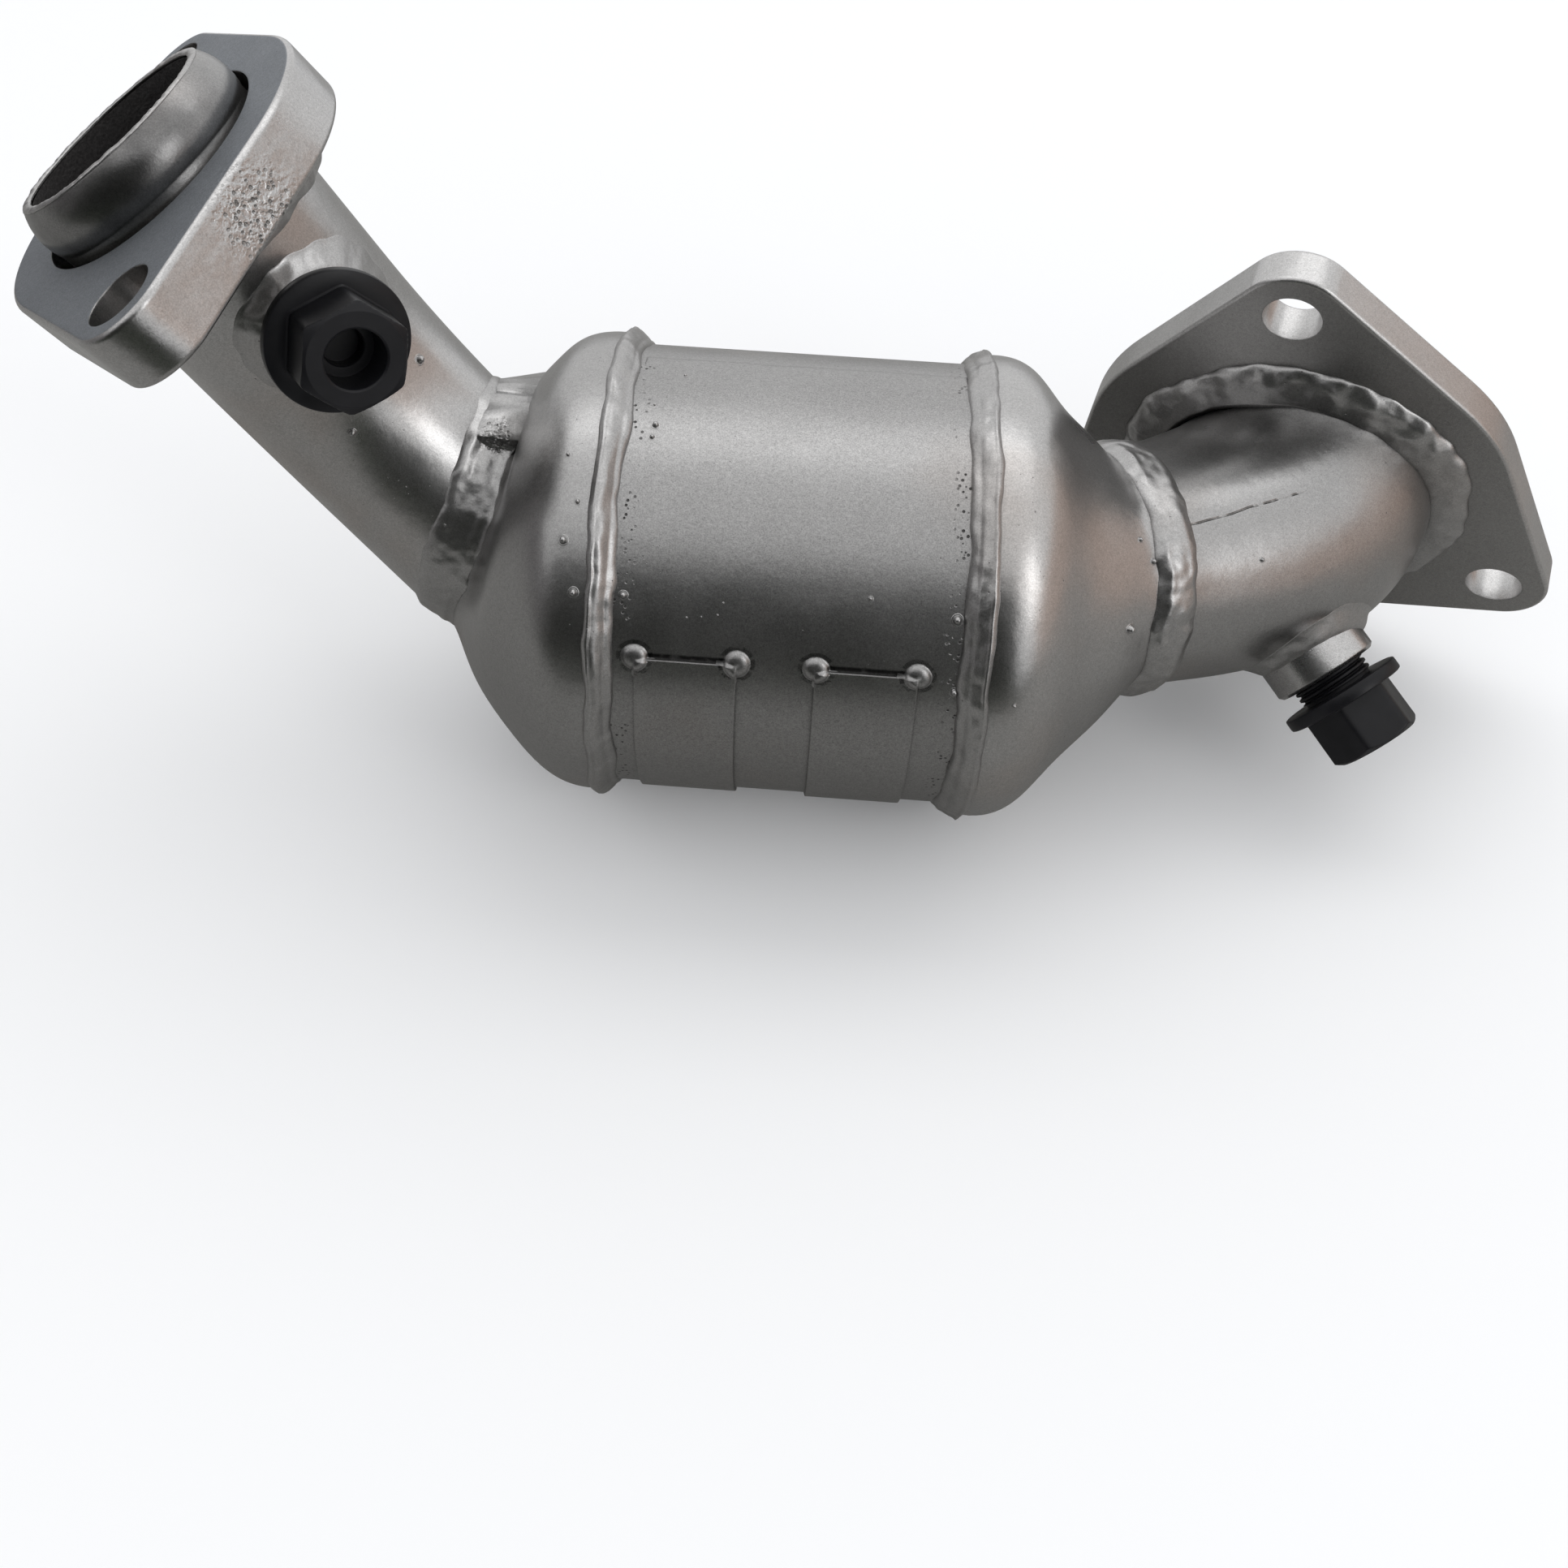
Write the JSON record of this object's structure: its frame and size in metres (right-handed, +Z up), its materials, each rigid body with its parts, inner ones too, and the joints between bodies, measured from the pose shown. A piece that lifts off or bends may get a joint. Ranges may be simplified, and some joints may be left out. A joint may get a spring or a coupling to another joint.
{
  "type": "catalytic converter",
  "caption": "Round catalytic converter with a bent inlet elbow on a three-bolt flange and a long bent outlet pipe on a two-bolt flange.",
  "frame": {"origin": "middle of the inlet flange's mating face", "axes": "+X along the can from its outlet end to its inlet end, +Z up, +Y to the left seen from the outlet end"},
  "size_m": [0.3498, 0.1327, 0.1726],
  "materials": {
    "can_paint": "silver heat paint over rolled sheet, fine grain",
    "cone_paint": "silver heat paint over formed sheet",
    "pipe_paint": "silver heat paint over tube, dark and gritty inside",
    "flange_paint": "grey heat paint over cut plate",
    "weld_paint": "painted weld, wavy and pitted",
    "boss_paint": "painted turned steel",
    "plug_black": "black oxide",
    "plate_paint": "silver heat paint over thin sheet",
    "ceramic": "unglazed ceramic, honeycomb",
    "mat": "pressed ceramic fibre",
    "mesh": "knitted wire"
  },
  "bodies": {
    "root": {"shell": "can_paint", "rear_seam": "can_paint", "inlet_cone": "cone_paint", "outlet_cone": "cone_paint", "inlet_elbow": "pipe_paint", "outlet_pipe": "pipe_paint", "inlet_flange": "flange_paint", "outlet_flange": "flange_paint", "inlet_seam_bead": "weld_paint", "outlet_seam_bead": "weld_paint", "inlet_neck_bead": "weld_paint", "outlet_neck_bead": "weld_paint", "inlet_flange_bead": "weld_paint", "outlet_flange_bead": "weld_paint", "inlet_boss_bead": "weld_paint", "outlet_boss_bead": "weld_paint", "plate_tacks": "weld_paint", "inlet_boss": "boss_paint", "outlet_boss": "boss_paint", "inlet_plug": "plug_black", "outlet_plug": "plug_black", "outlet_side_plate": "plate_paint", "inlet_side_plate": "plate_paint", "catalyst_brick": "ceramic", "support_mat": "mat", "inlet_mesh_ring": "mesh", "outlet_mesh_ring": "mesh"}
  },
  "joints": []
}
